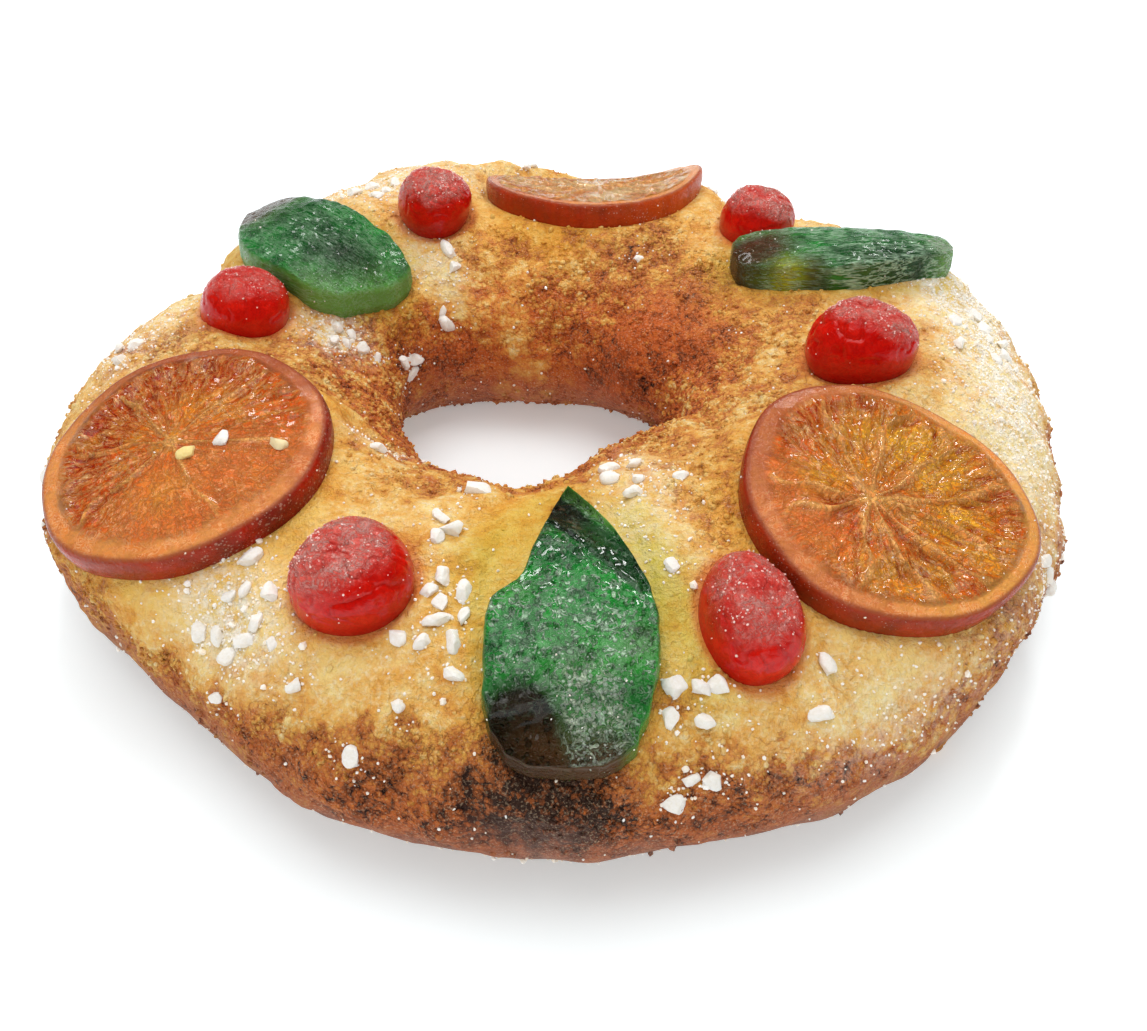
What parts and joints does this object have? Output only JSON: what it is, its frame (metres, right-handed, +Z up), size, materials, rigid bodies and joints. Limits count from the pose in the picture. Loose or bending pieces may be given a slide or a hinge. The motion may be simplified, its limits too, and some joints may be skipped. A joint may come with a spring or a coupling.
{
  "type": "king cake",
  "caption": "Ring of baked sweet dough topped with candied orange slices, glazed cherries, wedges of candied green rind and nibs of pearl sugar.",
  "frame": {"origin": "middle of the cake's outline seen from above, on the surface it rests on", "axes": "+Z up through the hole of the ring, -Y towards the front of the cake, +X to its right seen from the front"},
  "size_m": [0.2288, 0.2216, 0.0581],
  "materials": {
    "crust": "dry, crumbly baked crust, pale yellow on the crest, golden brown on the sides and dark brown at the foot",
    "candied_orange": "translucent syrup-soaked orange flesh with a paler peel rim and a dark amber edge, slightly glossy",
    "glazed_cherry": "translucent bright red, glossy, dusted with fine sugar",
    "green_rind": "deep green candied rind with a bubbly, sugar-frosted surface"
  },
  "bodies": {
    "root": {"dough_ring": "crust", "orange_slice_left": "candied_orange", "orange_slice_right": "candied_orange", "orange_slice_back": "candied_orange", "cherry_front_left": "glazed_cherry", "cherry_front_right": "glazed_cherry", "cherry_right": "glazed_cherry", "cherry_back_right": "glazed_cherry", "cherry_back_left": "glazed_cherry", "cherry_left": "glazed_cherry", "green_rind_front": "green_rind", "green_rind_back_left": "green_rind", "green_rind_back_right": "green_rind"}
  },
  "joints": []
}
